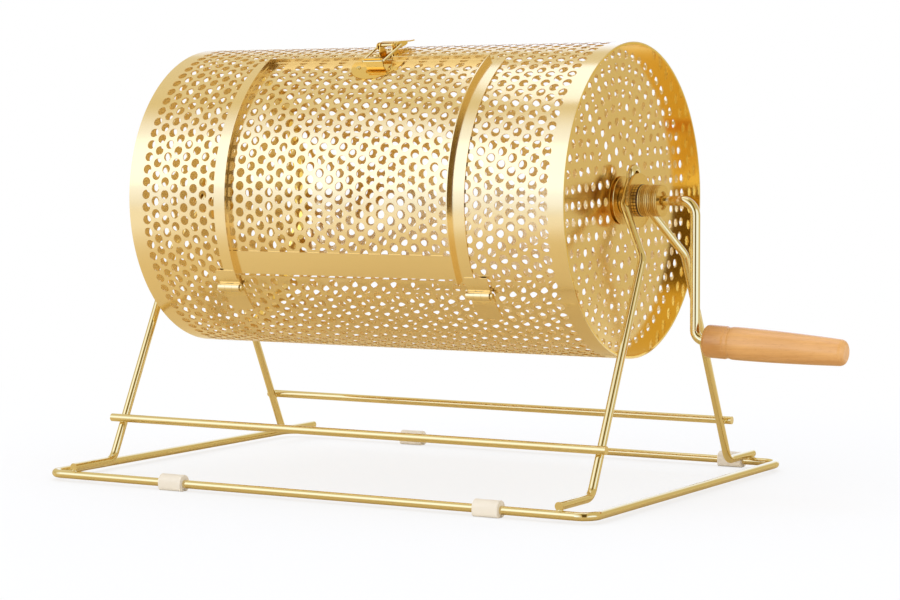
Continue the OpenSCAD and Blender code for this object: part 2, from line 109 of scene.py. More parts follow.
# Studio: the even level around, and soft boxes as direction, outer and inner angle and weight
WORLD_LEVEL = 0.61
SOFTBOXES = [
    ((-0.501, -0.772, 0.391), 44.0, 8.0, 0.60), ((-0.250, 0.930, 0.270), 30.0, 9.0, 0.60),
    ((-0.087, -0.996, 0.000), 24.0, 14.0, 0.50), ((0.961, -0.276, 0.000), 34.0, 24.0, 0.70),
    ((-0.560, 0.280, 0.780), 40.0, 12.0, 0.12)]
# The dark gap between the soft boxes, upright behind the camera: its direction, half width, depth and ends
GAP_AIM = (0.500, -0.866, 0.000)
GAP_SIDE = (0.866, 0.500, 0.000)
GAP_INNER = 0.18
GAP_OUTER = 0.24
GAP_DEPTH = 0.55
GAP_AHEAD = (0.25, 0.45)
# What every other surface sees of the same light
PLAIN_TINT = (0.98, 0.985, 1.0, 1.0)
PLAIN_GAIN = 1.45
PLAIN_BASE = 0.12
# What a mirror sees of each level of light: the dim walls are warm and the soft boxes cool
GRADE_TOP = 1.6
GRADE = [(0.0, (0.06, 0.035, 0.01)), (0.30, (0.40, 0.29, 0.11)), (0.54, (0.64, 0.54, 0.29)),
         (0.70, (0.77, 0.70, 0.50)), (0.88, (0.89, 0.88, 0.87)), (1.15, (1.04, 1.15, 1.48)),
         (1.31, (1.09, 1.31, 1.92)), (1.60, (1.20, 1.60, 2.60))]
# Lamps: name, place, size, power and colour, and the height on the drum that they aim at
LAMPS = [("key", (-1.6, -2.6, 1.5), (1.8, 1.8), 3.0, (1.0, 1.0, 1.0)),
         ("top", (-0.09, 0.05, 1.30), (0.78, 0.70), 2.2, (0.34, 0.50, 0.98))]
LAMP_AIM = 0.25
# The floor's half width, and its glow for the camera: the least, where that ends and where it is full
FLOOR_REACH = 1.7
FLOOR_GLOW = 0.70
FLOOR_NEAR = 0.50
FLOOR_FAR = 1.15
# The floor's colour as the metal mirrors it, near the object and far from it
MIRRORED_NEAR = (0.70, 0.58, 0.35, 1.0)
MIRRORED_FAR = (0.86, 0.84, 0.80, 1.0)

SHEET_NODES = [
    "drum_shell", "door_panel", "door_left_strip", "door_right_strip", "door_top_strip", "door_bottom_strip",
    "left_hinge_lower_leaf", "right_hinge_lower_leaf", "left_hinge_upper_leaf", "right_hinge_upper_leaf"]
DISC_NODES = ["left_end_disc", "right_end_disc"]
ROD_NODES = [
    "base_loop", "left_upright", "right_upright", "front_crossbar", "rear_crossbar", "crank_rod",
    "left_hinge_pin", "right_hinge_pin", "latch_bail", "latch_pivot_pin", "latch_rivets", "catch_rivets"]
TURNED_NODES = [
    "left_bearing_bush", "right_bearing_bush", "left_bearing_plate", "right_bearing_plate",
    "left_axle_flange", "right_axle_flange", "left_axle", "right_axle", "left_axle_nut", "right_axle_nut"]
LATCH_NODES = ["latch_base", "latch_catch", "latch_lever"]
COLLAR_NODES = ["left_lock_collar", "crank_collar"]
RING_NODES = ["left_rim_ring", "right_rim_ring"]
SLEEVE_NODES = ["front_left_foot", "front_right_foot", "rear_left_foot", "rear_right_foot"]
WASHER_NODES = ["left_thrust_washer", "right_thrust_washer"]
STEEL_NODES = ["collar_screws", "grip_snap_ring"]


class RaffleDrumSizes(bpy.types.PropertyGroup):
    """Sizes of the perforated walls, flanges, sleeves and welds"""

    radius: bpy.props.FloatProperty(
        name="Drum radius", description="Outer radius of the drum's wall", default=0.1524, unit="LENGTH")
    length: bpy.props.FloatProperty(
        name="Drum length", description="From rim to rim", default=0.490, unit="LENGTH")
    sheet: bpy.props.FloatProperty(
        name="Sheet thickness", description="Thickness of the perforated sheet", default=0.0012,
        unit="LENGTH")
    hole_radius: bpy.props.FloatProperty(
        name="Hole radius", description="Radius of each punched hole", default=0.00470, unit="LENGTH")
    hole_columns: bpy.props.IntProperty(
        name="Hole columns", description="Columns of holes from rim to rim", default=40)
    column_step: bpy.props.FloatProperty(
        name="Column step", description="Distance between two columns of holes", default=0.0115,
        unit="LENGTH")
    holes_round: bpy.props.IntProperty(
        name="Holes round", description="Holes in each column of the drum's wall", default=75)
    opening_low: bpy.props.FloatProperty(
        name="Opening low", description="Lower edge of the door's opening, from the front",
        default=math.radians(-29.8), subtype="ANGLE")
    opening_rows: bpy.props.IntProperty(
        name="Opening rows", description="Half rows of holes that the door's opening takes out", default=38)
    opening_first: bpy.props.IntProperty(
        name="Opening's first column", description="First column that the opening takes out", default=10)
    opening_last: bpy.props.IntProperty(
        name="Opening's last column", description="Last column that the opening takes out", default=31)
    door_left: bpy.props.FloatProperty(
        name="Door left", description="Left edge of the door's panel from the drum's middle",
        default=-0.1242, unit="LENGTH")
    door_right: bpy.props.FloatProperty(
        name="Door right", description="Right edge of the door's panel from the drum's middle",
        default=0.1258, unit="LENGTH")
    door_columns: bpy.props.IntProperty(
        name="Door columns", description="Whole columns of holes in the door", default=21)
    door_first: bpy.props.FloatProperty(
        name="Door's first column", description="Where the first whole column of the door starts",
        default=-0.1169, unit="LENGTH")
    door_low: bpy.props.FloatProperty(
        name="Door low", description="Lower edge of the door's panel", default=math.radians(-28.6),
        subtype="ANGLE")
    door_low_rows: bpy.props.FloatProperty(
        name="Door's first row", description="Where the rows of holes in the door start",
        default=math.radians(-26.53), subtype="ANGLE")
    door_top: bpy.props.FloatProperty(
        name="Door top", description="Upper edge of the door's panel", default=math.radians(61.0),
        subtype="ANGLE")
    door_rows: bpy.props.IntProperty(
        name="Door rows", description="Half rows of holes in the door", default=36)
    flange: bpy.props.FloatProperty(
        name="Fold height", description="How far the door's folded edges stand out", default=0.0025,
        unit="LENGTH")
    axle_radius: bpy.props.FloatProperty(
        name="Axle radius", description="Bore of the axle flanges", default=0.00900, unit="LENGTH")
    flange_gap: bpy.props.FloatProperty(
        name="Flange gap", description="How far the axle flange stands off the end disc", default=0.0015,
        unit="LENGTH")
    flange_step: bpy.props.FloatProperty(
        name="Flange step", description="How far the flange reaches past its boss", default=0.0035,
        unit="LENGTH")
    bead: bpy.props.FloatProperty(
        name="Weld bead", description="Radius of a bead of weld", default=0.0034, unit="LENGTH")
    sleeve_length: bpy.props.FloatProperty(
        name="Sleeve length", description="Length of a sleeve on the base", default=0.0262, unit="LENGTH")
    sleeve_height: bpy.props.FloatProperty(
        name="Sleeve height", description="Height of a sleeve above the ground", default=0.0158,
        unit="LENGTH")
    leg_place: bpy.props.FloatProperty(
        name="Leg place", description="From the stand's middle to a leg's axis", default=0.2703,
        unit="LENGTH")
    leg_lean: bpy.props.FloatProperty(
        name="Leg lean", description="How far the lower legs lean from upright", default=math.radians(26.77),
        subtype="ANGLE")


class RaffleDrumColours(bpy.types.PropertyGroup):
    """Colours of the finishes"""

    sheet: bpy.props.FloatVectorProperty(
        name="Sheet", description="Plated sheet", default=(0.93, 0.74, 0.40), subtype="COLOR")
    # The end discs' plating is the sheet's, painted darker and deeper as shade
    disc: bpy.props.FloatVectorProperty(
        name="End discs", description="Plated end discs", default=(0.91, 0.68, 0.30), subtype="COLOR")
    rod: bpy.props.FloatVectorProperty(
        name="Rod", description="Plated rod", default=(0.84, 0.69, 0.35), subtype="COLOR")
    turned: bpy.props.FloatVectorProperty(
        name="Turned parts", description="Turned and plated pieces", default=(0.86, 0.60, 0.20),
        subtype="COLOR")
    sleeve: bpy.props.FloatVectorProperty(
        name="Sleeves", description="Soft sleeves on the base", default=(0.86, 0.77, 0.62), subtype="COLOR")
    latch: bpy.props.FloatVectorProperty(
        name="Latch", description="Pressed pieces of the latch", default=(0.90, 0.63, 0.19), subtype="COLOR")
    ring: bpy.props.FloatVectorProperty(
        name="Rim rings", description="Rings inside the rims", default=(0.97, 0.68, 0.15), subtype="COLOR")
    # Colour of the painted shade in the gaps between a washer's teeth and on its face against the collar
    washer: bpy.props.FloatVectorProperty(
        name="Washers", description="Gaps between a washer's teeth", default=(0.10, 0.05, 0.02),
        subtype="COLOR")
    steel: bpy.props.FloatVectorProperty(
        name="Steel", description="Screws and snap ring", default=(0.30, 0.24, 0.16), subtype="COLOR")
    wood_light: bpy.props.FloatVectorProperty(
        name="Wood", description="Pale wood of the grip", default=(0.80, 0.42, 0.135), subtype="COLOR")
    wood_dark: bpy.props.FloatVectorProperty(
        name="Wood grain", description="Darker lines in the wood", default=(0.56, 0.25, 0.06),
        subtype="COLOR")
    floor: bpy.props.FloatVectorProperty(
        name="Floor", description="Floor and backdrop", default=(0.88, 0.88, 0.88), subtype="COLOR")


class Wire:
    """A socket that takes part in Python expressions, which add their Math nodes"""

    def __init__(self, graph, socket):
        self.graph = graph
        self.socket = socket

    def math(self, operation, *values):
        return self.graph.node("ShaderNodeMath", {"operation": operation}, dict(enumerate(values)))

    def __add__(self, other):
        return self.math("ADD", self, other)

    def __radd__(self, other):
        return self.math("ADD", other, self)

    def __sub__(self, other):
        return self.math("SUBTRACT", self, other)

    def __rsub__(self, other):
        return self.math("SUBTRACT", other, self)

    def __mul__(self, other):
        return self.math("MULTIPLY", self, other)

    def __rmul__(self, other):
        return self.math("MULTIPLY", other, self)

    def __truediv__(self, other):
        return self.math("DIVIDE", self, other)

    def __lt__(self, other):
        return self.math("LESS_THAN", self, other)

    def __gt__(self, other):
        return self.math("GREATER_THAN", self, other)

    def __mod__(self, other):
        return self.math("FLOORED_MODULO", self, other)

    def floor(self):
        return self.math("FLOOR", self)

    def sin(self):
        return self.math("SINE", self)

    def cos(self):
        return self.math("COSINE", self)

    def largest(self, other):
        return self.math("MAXIMUM", self, other)

    def other(self, name):
        """Another output of the node that this one comes from"""
        return Wire(self.graph, self.socket.node.outputs[name])


class Graph:
    """Adds nodes to one node tree"""

    def __init__(self, tree):
        self.tree = tree

    def node(self, kind, settings=None, values=None, out=0):
        made = self.tree.nodes.new(kind)
        for name, value in (settings or {}).items():
            if name == "ramp":
                ramp = made.color_ramp
                while len(ramp.elements) < len(value):
                    ramp.elements.new(1.0)
                for element, (place, colour) in zip(ramp.elements, value):
                    element.position = place
                    element.color = colour
            else:
                setattr(made, name, value)
        for name, value in (values or {}).items():
            target = made.inputs[name]
            if isinstance(value, list):
                for one in value:
                    self.tree.links.new(one.socket, target)
            elif isinstance(value, Wire):
                self.tree.links.new(value.socket, target)
            else:
                target.default_value = value
        return Wire(self, made.outputs[out]) if len(made.outputs) else made


def emptied(owner):
    """A graph on the emptied node tree of a material or world"""
    owner.use_nodes = True
    owner.node_tree.nodes.clear()
    return Graph(owner.node_tree)


def new_material(name):
    """A material, its graph and the place on the object"""
    material = bpy.data.materials.new(name)
    g = emptied(material)
    return material, g, g.node("ShaderNodeTexCoord", out="Object")


def new_tree(name, inputs):
    """A graph for geometry nodes, and the wires of its inputs by name"""
    tree = bpy.data.node_groups.new(name, "GeometryNodeTree")
    for label, kind in inputs:
        tree.interface.new_socket(name=label, in_out="INPUT", socket_type="NodeSocket" + kind)
    tree.interface.new_socket(name="Geometry", in_out="OUTPUT", socket_type="NodeSocketGeometry")
    g = Graph(tree)
    source = tree.nodes.new("NodeGroupInput")
    return g, {label: Wire(g, source.outputs[label]) for label, kind in inputs}


def close_material(graph, shader):
    graph.node("ShaderNodeOutputMaterial", None, {"Surface": shader})


def noise(graph, vector, scale, detail=3.0, roughness=0.55, distortion=0.0):
    return graph.node("ShaderNodeTexNoise", None, {
        "Vector": vector, "Scale": scale, "Detail": detail, "Roughness": roughness, "Distortion": distortion})


def stretched(graph, vector, scale):
    return graph.node("ShaderNodeMapping", None, {"Vector": vector, "Scale": scale})


def mixed(graph, factor, first, second):
    return graph.node("ShaderNodeMix", {"data_type": "RGBA"}, {0: factor, 6: first, 7: second}, 2)


def along(graph, vector, axis):
    return graph.node("ShaderNodeSeparateXYZ", None, {0: vector}, axis)


def dotted(graph, first, second):
    return graph.node("ShaderNodeVectorMath", {"operation": "DOT_PRODUCT"}, {0: first, 1: second}, "Value")


def eased(graph, value, start, stop, low, high):
    """Goes smoothly from one level to another while a value runs from start to stop"""
    return graph.node("ShaderNodeMapRange", {"interpolation_type": "SMOOTHSTEP"}, {
        "Value": value, "From Min": start, "From Max": stop, "To Min": low, "To Max": high})


def opaque(colour):
    return tuple(colour) + (1.0,)


def plated(name, colour, roughness, grain, spread=0.05, relief=0.10, tone=0.10, pitch=0.0):
    """A bright plated metal with fine lines of polishing, and turned grooves where it has a pitch"""
    material, g, place = new_material(name)
    lines = noise(g, stretched(g, place, grain), 1.0, 4.0, 0.6)
    cloud = noise(g, place, 9.0, 2.0, 0.5)
    specks = noise(g, place, 900.0, 2.0, 0.5)
    rough = roughness + (lines - 0.5) * spread + (cloud - 0.5) * spread
    dark = opaque(c * f for c, f in zip(colour, DULLED))
    tint = mixed(g, (cloud * 0.7 + lines * 0.3) * tone * 5.0 - tone * 2.0, opaque(colour), dark)
    bump = g.node("ShaderNodeBump", None, {
        "Height": lines * 0.7 + specks * 0.3, "Strength": relief, "Distance": SCRATCH_DEPTH})
    if pitch:
        grooves = (along(g, place, "X") * (2 * math.pi / pitch)).sin()
        bump = g.node("ShaderNodeBump", None, {
            "Height": grooves, "Strength": 1.0, "Distance": pitch / 4, "Normal": bump})
    close_material(g, g.node("ShaderNodeBsdfPrincipled", None, {
        "Base Color": tint, "Metallic": 1.0, "Roughness": rough, "Normal": bump}))
    return material


def toothed(name, colour, gap, node):
    """A lock washer: plated teeth on the side of the bush, painted shade in the gaps between them, and a face
    against the collar painted dark as shade
    """
    material, g, place = new_material(name)
    from_axle = g.node("ShaderNodeVectorMath", {"operation": "SUBTRACT"}, {0: place, 1: tuple(AXLE)})
    centred = g.node("ShaderNodeMapping", None, {
        "Vector": from_axle, "Rotation": (0.0, math.radians(90.0), 0.0)})
    turn = g.node("ShaderNodeTexGradient", {"gradient_type": "RADIAL"}, {"Vector": centred}, "Fac")
    # Noise that varies the roughness and makes the edges of the painted shade ragged
    worn = noise(g, place, 700.0, 2.0)
    # Painted shade in the gaps between the teeth
    painted_gap_shade = ((turn * WASHER_TEETH + worn * 0.3) % 1.0) < WASHER_GAP
    out = along(g, from_axle, "X")
    middle = abs(sum(corner[0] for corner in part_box(node)) / 2 - AXLE.x)
    # Painted shade on the face against the collar, from a ragged start outwards
    face = out.largest(0 - out) > middle + WASHER_FACE + (worn - 0.5) * WASHER_SHADE_RAGGED
    # The painted shade of face and gaps together, less metallic where it is dark
    dark = face.largest(painted_gap_shade * 0.8)
    tint = mixed(g, dark, opaque(colour), opaque(gap))
    close_material(g, g.node("ShaderNodeBsdfPrincipled", None, {
        "Base Color": tint, "Metallic": 1.0 - dark * 0.7, "Roughness": 0.30 + (worn - 0.5) * 0.2}))
    return material


def moulded(name, colour, roughness, relief):
    """A soft plastic with a fine skin"""
    material, g, place = new_material(name)
    cloud = noise(g, place, 60.0, 2.0)
    skin = noise(g, place, 1400.0, 2.0)
    tint = mixed(g, cloud, opaque(colour), opaque(c * 0.88 for c in colour))
    bump = g.node("ShaderNodeBump", None, {"Height": skin, "Strength": relief, "Distance": SKIN_DEPTH})
    close_material(g, g.node("ShaderNodeBsdfPrincipled", None, {
        "Base Color": tint, "Roughness": roughness + (cloud - 0.5) * 0.15, "Normal": bump}))
    return material


def lacquered_wood(name, light, dark):
    """Beech: fine long grain, short flecks and a thin satin lacquer, with painted shade on its underside and
    darker towards its collar end
    """
    material, g, place = new_material(name)
    level = g.node("ShaderNodeMapping", None, {"Vector": place, "Rotation": (0.0, GRIP_DROOP, 0.0)})
    rings = noise(g, stretched(g, level, (7.0, 60.0, 60.0)), 1.0, 3.0, 0.55, 0.4)
    fibres = noise(g, stretched(g, level, (26.0, 620.0, 620.0)), 1.0, 3.0, 0.6)
    flecks = noise(g, stretched(g, level, (170.0, 1300.0, 1300.0)), 1.0, 1.0, 0.5)
    fleck = g.node("ShaderNodeValToRGB", {"ramp": [(0.62, (0, 0, 0, 1)), (0.70, WHITE)]}, {"Fac": flecks})
    from_end = along(g, place, "X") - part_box("wooden_grip")[0][0]
    # Darker towards the collar end
    end = eased(g, from_end, 0.0, GRIP_DARK_END, 0.95, 0.0)
    # Painted shade: the grip's underside is darker, by its normal in the world
    under = along(g, g.node("ShaderNodeNewGeometry", out="Normal"), "Z") * -0.95
    shade = (rings - 0.36) * 1.9 + (fibres - 0.5) * 0.7 + fleck * 0.22 + end + under.largest(-0.1)
    tint = mixed(g, shade, opaque(light), opaque(dark))
    bump = g.node("ShaderNodeBump", None, {
        "Height": fibres * 0.6 - fleck * 0.5, "Strength": 0.12, "Distance": SKIN_DEPTH})
    close_material(g, g.node("ShaderNodeBsdfPrincipled", None, {
        "Base Color": tint, "Roughness": 0.34 + (fibres - 0.5) * 0.12, "Normal": bump,
        "Coat Weight": 0.15, "Coat Roughness": 0.25}))
    return material


def finish_nodes(nodes, material):
    """Gives CAD nodes a finish"""
    for node in nodes:
        slots = frame["nodes"][node].data.materials
        slots.clear()
        slots.append(material)


def mesh_object(name, vertices, faces):
    mesh = bpy.data.meshes.new(name)
    mesh.from_pydata(vertices, [], faces)
    mesh.update()
    made = bpy.data.objects.new(name, mesh)
    bpy.context.scene.collection.objects.link(made)
    return made


def drop_objects(*objects):
    for made in objects:
        mesh = made.data
        bpy.data.objects.remove(made)
        bpy.data.meshes.remove(mesh)


def holed_cell(width, height, radius):
    """A rectangle with a round hole, whose edges have a point at every quarter"""
    steps = [(4, q) for q in (0, 2, 4)] + [(q, 4) for q in (2, 0, -2)] + [(-4, q) for q in (4, 2, 0, -2, -4)]
    steps += [(q, -4) for q in (-2, 0, 2)] + [(4, -4), (4, -2)]
    outer = [(x * width / 8, y * height / 8, 0.0) for x, y in steps]
    turns = [2 * math.pi * i / HOLE_SIDES for i in range(HOLE_SIDES)]
    inner = [(radius * math.cos(t), radius * math.sin(t), 0.0) for t in turns]
    pairs = [(i, (i + 1) % HOLE_SIDES) for i in range(HOLE_SIDES)]
    faces = [(i, HOLE_SIDES + i, HOLE_SIDES + after, after) for i, after in pairs]
    return mesh_object("holed_cell", inner + outer, faces)


def plain_cell(width, height):
    """A rectangle of four by two faces"""
    points = [(x * width / 4, y * height / 2, 0.0) for y in (-1, 0, 1) for x in (-2, -1, 0, 1, 2)]
    faces = [(r * 5 + c, r * 5 + c + 1, r * 5 + c + 6, r * 5 + c + 5) for r in (0, 1) for c in range(4)]
    return mesh_object("plain_cell", points, faces)


def notched_cell(width, height, radius, centre):
    """A rectangle whose left edge cuts through a hole, centre being the hole's middle from the rectangle's"""
    steps = HOLE_SIDES // 2
    reach = math.asin((width / 2 + centre) / radius)
    turns = [-math.pi / 2 - reach + (math.pi + 2 * reach) * i / steps for i in range(steps + 1)]
    inner = [(centre + radius * math.cos(t), radius * math.sin(t), 0.0) for t in turns]
    edge = [(x, -4) for x in (-4, -2, 0, 2)] + [(4, y) for y in (-4, -2, 0, 2)]
    edge += [(x, 4) for x in (4, 2, 0, -2, -4)]
    outer = [(x * width / 8, y * height / 8, 0.0) for x, y in edge]
    first = len(inner)
    low_side = (-width / 2, -height / 4, 0.0)
    top_side = (-width / 2, height / 4, 0.0)
    points = inner + outer + [low_side, top_side]
    low, top = first + len(outer), first + len(outer) + 1
    inward = [low, 0, 1, 2, 2, 3, 4, 5, 6, 6, 7, 8, top]
    faces = []
    for i, (here, there) in enumerate(zip(inward, inward[1:])):
        corner = (here, first + i, first + i + 1)
        faces.append(corner if here == there else corner + (there,))
    return mesh_object("notched_cell", points, faces)


SHEET_INPUTS = [
    ("Geometry", "Geometry"), ("Holed Cell", "Object"), ("Plain Cell", "Object"), ("Notched Cell", "Object"),
    ("Columns", "Int"), ("Rows", "Int"), ("Phase", "Float"), ("First Column", "Int"), ("Last Column", "Int"),
    ("Left Edge", "Float"), ("Left Width", "Float"), ("Column Step", "Float"), ("Right Width", "Float"),
    ("Row Step", "Float"), ("First Angle", "Float"), ("Low Extra", "Float"), ("Closed", "Float"),
    ("Notched", "Float"), ("Plain Rows", "Float"), ("Cut First", "Float"), ("Cut Last", "Float"),
    ("Cut Rows", "Float"), ("Radius", "Float"), ("Thickness", "Float"), ("Place", "Vector"),
    ("Material", "Material")]


def perforated_tree():
    """Lays cells on a grid, leaves out an opening, bends the sheet round the axle and gives it thickness"""
    g, given = new_tree("perforated_sheet", SHEET_INPUTS)
    columns, rows = given["Columns"], given["Rows"]
    grid = g.node("GeometryNodeMeshGrid", None, {"Vertices X": columns, "Vertices Y": rows})
    points = g.node("GeometryNodeMeshToPoints", {"mode": "VERTICES"}, {"Mesh": grid})
    index = g.node("GeometryNodeInputIndex")
    column = ((index + 0.5) / rows).floor()
    row = index - column * rows
    in_columns = (column > given["Cut First"] - 0.5) * (column < given["Cut Last"] + 0.5)

    def cut(at):
        return in_columns * ((at % rows) < given["Cut Rows"] - 0.5)

    inner = (column > 0.5) * (column < columns - 1.5)
    left = column < 0.5
    holed_column = inner.largest(left * given["Notched"])

    def hole_starts(at):
        even = ((column + at + given["Phase"] + 0.5) % 2.0) < 1.0
        fits = given["Closed"].largest((at > given["Plain Rows"] - 0.5) * (at < rows - 1.5))
        return even * holed_column * fits * (1 - cut(at)) * (1 - cut(at + 1.0))

    starts = hole_starts(row)
    bare = (1 - starts) * (1 - hole_starts(row - 1.0)) * (1 - cut(row))
    wanted = (column > given["First Column"] - 0.5) * (column < given["Last Column"] + 0.5)
    last = column > columns - 1.5
    width = left * given["Left Width"] + inner * given["Column Step"] + last * given["Right Width"]
    x = given["Left Edge"] + width * 0.5 + (1 - left) * (
        given["Left Width"] + (column - 1.0) * given["Column Step"])
    low = (row < 0.5) * given["Low Extra"]
    arc = given["Radius"]
    y_holed = ((row + 1.0) * given["Row Step"] + given["Low Extra"]) * arc
    y_plain = ((row + 0.5) * given["Row Step"] + given["Low Extra"] - low * 0.5) * arc
    grow_x = width / given["Column Step"]
    grow_y = 1 + low / given["Row Step"]
    kinds = [
        ("Holed Cell", starts * inner, y_holed, (1.0, 1.0)), ("Plain Cell", bare, y_plain, (grow_x, grow_y)),
        ("Notched Cell", starts * left, y_holed, (1.0, 1.0))]
    laid = []
    for cell, chosen, y, (size_x, size_y) in kinds:
        where = g.node("ShaderNodeCombineXYZ", None, {"X": x, "Y": y, "Z": 0.0})
        spots = g.node("GeometryNodeSetPosition", None, {"Geometry": points, "Position": where})
        shape = g.node("GeometryNodeObjectInfo", None, {"Object": given[cell]}, "Geometry")
        size = g.node("ShaderNodeCombineXYZ", None, {"X": size_x, "Y": size_y, "Z": 1.0})
        laid.append(g.node("GeometryNodeInstanceOnPoints", None, {
            "Points": spots, "Selection": chosen * wanted, "Instance": shape, "Scale": size}))
    flat = g.node("GeometryNodeRealizeInstances", None, {
        "Geometry": g.node("GeometryNodeJoinGeometry", None, {"Geometry": laid})})
    place = g.node("GeometryNodeInputPosition")
    angle = given["First Angle"] + along(g, place, "Y") / arc
    round_place = g.node("ShaderNodeCombineXYZ", None, {
        "X": along(g, place, "X"), "Y": 0 - arc * angle.cos(), "Z": arc * angle.sin()})
    bent = g.node("GeometryNodeSetPosition", None, {"Geometry": flat, "Position": round_place})
    outside = g.node("GeometryNodeMergeByDistance", None, {"Geometry": bent, "Distance": SAME_POINT})
    flipped = g.node("GeometryNodeFlipFaces", None, {"Mesh": outside})
    drawn = g.node("GeometryNodeExtrudeMesh", {"mode": "FACES"}, {
        "Mesh": flipped, "Offset Scale": 0.0, "Individual": False}, "Mesh")
    inward = 1 - given["Thickness"] / arc
    shrink = g.node("ShaderNodeCombineXYZ", None, {"X": 1.0, "Y": inward, "Z": inward})
    moved = g.node("ShaderNodeVectorMath", {"operation": "MULTIPLY"}, {0: place, 1: shrink})
    inside = g.node("GeometryNodeSetPosition", None, {
        "Geometry": drawn, "Selection": drawn.other("Top"), "Position": moved})
    whole = g.node("GeometryNodeMergeByDistance", None, {
        "Geometry": g.node("GeometryNodeJoinGeometry", None, {"Geometry": [outside, inside]}),
        "Distance": SAME_POINT})
    smooth = g.node("GeometryNodeSetShadeSmooth", {"domain": "FACE"}, {0: whole, "Shade Smooth": True})
    sharp = g.node("GeometryNodeInputMeshEdgeAngle", out="Unsigned Angle") > SHEET_FOLD
    crisp = g.node("GeometryNodeSetShadeSmooth", {"domain": "EDGE"}, {
        0: smooth, "Selection": sharp, "Shade Smooth": False})
    put = g.node("GeometryNodeTransform", None, {"Geometry": crisp, "Translation": given["Place"]})
    finished = g.node("GeometryNodeSetMaterial", None, {
        "Geometry": g.node("GeometryNodeRealizeInstances", None, {"Geometry": put}),
        "Material": given["Material"]})
    g.node("NodeGroupOutput", None, {"Geometry": finished})
    return g.tree


def grown(name, tree, values, seed=None):
    """Runs a tree on an object and keeps the result as a plain mesh"""
    source = seed or mesh_object(name + "_source", [], [])
    modifier = source.modifiers.new("grow", "NODES")
    modifier.node_group = tree
    names = {s.name: s.identifier for s in tree.interface.items_tree
             if s.item_type == "SOCKET" and s.in_out == "INPUT"}
    for key, value in values.items():
        modifier[names[key]] = value
    bpy.context.view_layer.update()
    graph = bpy.context.evaluated_depsgraph_get()
    mesh = bpy.data.meshes.new_from_object(source.evaluated_get(graph), depsgraph=graph)
    source.modifiers.remove(modifier)
    drop_objects(source)
    if not mesh.polygons:
        raise RuntimeError("nothing grew for " + name)
    mesh.name = name
    finish = mesh.materials[mesh.polygons[0].material_index]
    mesh.materials.clear()
    mesh.materials.append(finish)
    mesh.polygons.foreach_set("material_index", [0] * len(mesh.polygons))
    made = bpy.data.objects.new(name, mesh)
    bpy.context.scene.collection.objects.link(made)
    return made


def sheet_values(sizes, holed, plain, notched):
    """The inputs that the drum's wall and the door share"""
    return {
        "Holed Cell": holed, "Plain Cell": plain, "Notched Cell": notched, "Phase": 1.0,
        "Column Step": sizes.column_step, "Radius": sizes.radius, "Thickness": sizes.sheet,
        "Place": tuple(AXLE), "Material": bpy.data.materials["plated_sheet"]}


def round_box(bm, x0, x1, a0, a1, r0, r1, steps):
    """A plate that follows the drum: between two x, two angles and two radii"""
    rings = []
    for i in range(steps + 1):
        a = a0 + (a1 - a0) * i / steps
        rings.append([
            bm.verts.new((AXLE.x + x, -r * math.cos(a), AXLE.z + r * math.sin(a)))
            for x, r in ((x0, r0), (x1, r0), (x1, r1), (x0, r1))])
    made = [bm.faces.new(rings[0]), bm.faces.new(list(reversed(rings[-1])))]
    for low, high in zip(rings, rings[1:]):
        for k in range(4):
            made.append(bm.faces.new((low[(k + 1) % 4], low[k], high[k], high[(k + 1) % 4])))
    bmesh.ops.recalc_face_normals(bm, faces=made)


def sharpen(bm, limit=SHEET_FOLD):
    """Smooth shading with crisp folds"""
    for face in bm.faces:
        face.smooth = True
    for edge in bm.edges:
        edge.smooth = not (len(edge.link_faces) == 2 and edge.calc_face_angle() > limit)


class RAFFLEDRUM_OT_finishes(bpy.types.Operator):
    """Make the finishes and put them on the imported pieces"""

    bl_idname = "raffle_drum.finishes"
    bl_label = "Finishes"

    def execute(self, context):
        colours = context.scene.raffle_drum_colours
        finish_nodes(SHEET_NODES, plated("plated_sheet", colours.sheet, 0.17, (40.0, 900.0, 900.0)))
        # The end discs get a copy of the sheet's finish painted darker as shade
        finish_nodes(DISC_NODES, plated("plated_disc_with_painted_shade", colours.disc, 0.17, (40.0, 900.0, 900.0)))
        finish_nodes(ROD_NODES, plated("plated_rod", colours.rod, 0.05, (120.0, 300.0, 300.0), 0.02))
        finish_nodes(TURNED_NODES, plated("turned_and_plated", colours.turned, 0.24, (1500.0, 60.0, 60.0)))
        finish_nodes(SLEEVE_NODES, moulded("sleeve_plastic", colours.sleeve, 0.42, 0.10))
        finish_nodes(LATCH_NODES, plated("plated_latch", colours.latch, 0.12, (300.0, 300.0, 60.0)))
        finish_nodes(COLLAR_NODES, plated(
            "ribbed_collar", colours.turned, 0.24, (60.0, 400.0, 400.0), pitch=0.0017))
        finish_nodes(RING_NODES, plated("mirrored_ring", colours.ring, 0.10, (60.0, 400.0, 400.0)))
        # The washers' finish has painted shade in the gaps between the teeth and on the face against the
        # collar
        finish_nodes(WASHER_NODES, toothed(
            "washer_with_painted_shade", colours.turned, colours.washer, "right_thrust_washer"))
        finish_nodes(STEEL_NODES, plated("oiled_steel", colours.steel, 0.34, (300.0, 300.0, 300.0)))
        finish_nodes(["wooden_grip"], lacquered_wood(
            "lacquered_beech", colours.wood_light, colours.wood_dark))
        return {"FINISHED"}


